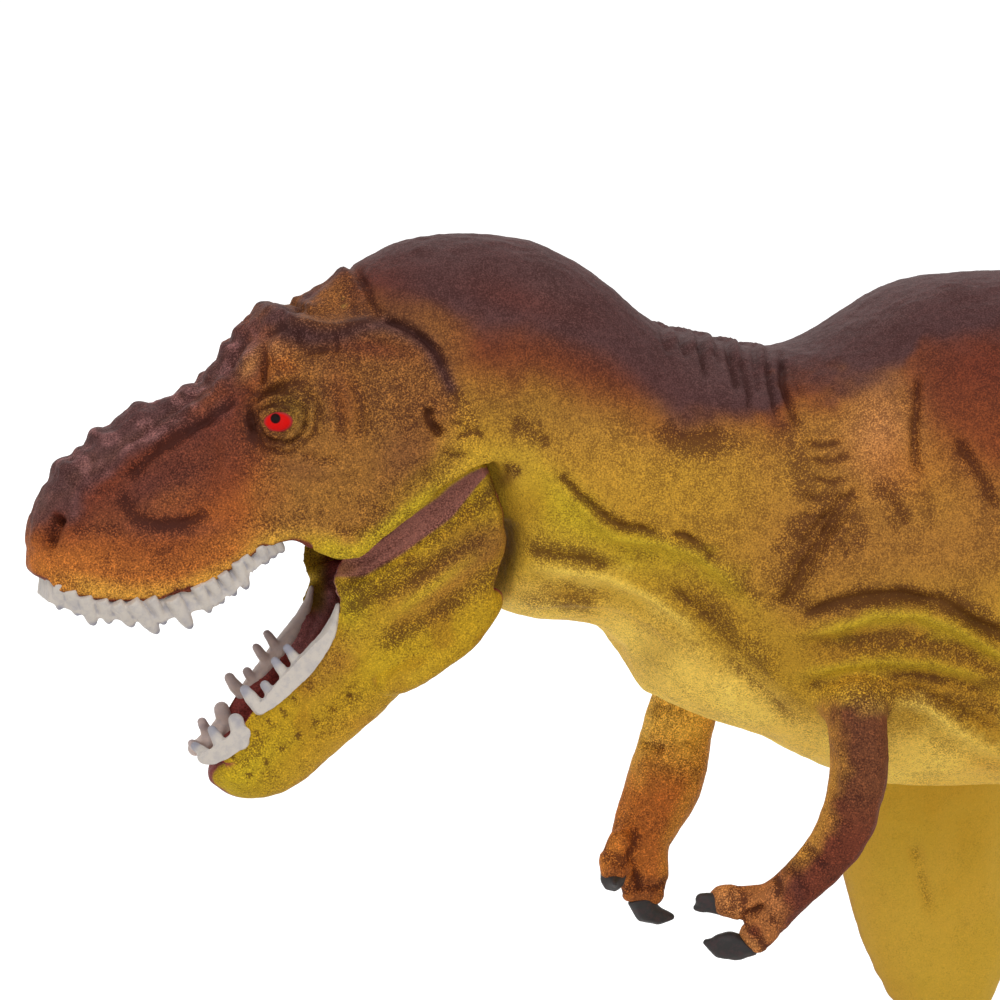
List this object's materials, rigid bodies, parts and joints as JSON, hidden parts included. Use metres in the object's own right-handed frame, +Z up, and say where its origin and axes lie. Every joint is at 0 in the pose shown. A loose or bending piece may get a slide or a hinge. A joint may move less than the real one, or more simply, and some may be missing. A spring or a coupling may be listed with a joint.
{
  "type": "toy dinosaur figure",
  "caption": "Standing two-legged meat-eating dinosaur figure with small arms, a raised tail and a wide open lower jaw that turns on a pin.",
  "frame": {"origin": "on the floor, under the middle of the figure's length and width", "axes": "+X from the nose to the tip of the tail, +Y to the figure's right side, +Z up; the left side faces -Y"},
  "size_m": [0.297, 0.0642, 0.1455],
  "materials": {
    "head_skin": "painted matte",
    "jaw_skin": "painted matte",
    "body_skin": "painted matte",
    "arm_skin": "painted matte",
    "leg_skin": "painted matte",
    "teeth": "painted satin",
    "tongue": "painted satin",
    "claws": "painted satin",
    "eyes": "painted gloss",
    "steel": "drawn wire"
  },
  "bodies": {
    "figure": {"skull": "head_skin", "upper_teeth": "teeth", "left_eye": "eyes", "right_eye": "eyes", "jaw_pin": "steel", "trunk_left_shell": "body_skin", "trunk_right_shell": "body_skin", "tail": "body_skin", "left_arm": "arm_skin", "right_arm": "arm_skin", "left_leg": "leg_skin", "right_leg": "leg_skin", "left_hand_claw_1": "claws", "left_hand_claw_2": "claws", "left_inner_toe_claw": "claws", "left_middle_toe_claw": "claws", "left_outer_toe_claw": "claws", "right_hand_claw_1": "claws", "right_hand_claw_2": "claws", "right_inner_toe_claw": "claws", "right_middle_toe_claw": "claws", "right_outer_toe_claw": "claws"},
    "jaw": {"lower_jaw": "jaw_skin", "lower_teeth": "teeth", "tongue": "tongue"}
  },
  "joints": [
    {"name": "jaw_hinge", "type": "hinge", "parent": "figure", "child": "jaw", "pos_m": [-0.093, 0, 0.1145], "axis": [0, 1, 0], "range_deg": [0, 32]}
  ]
}
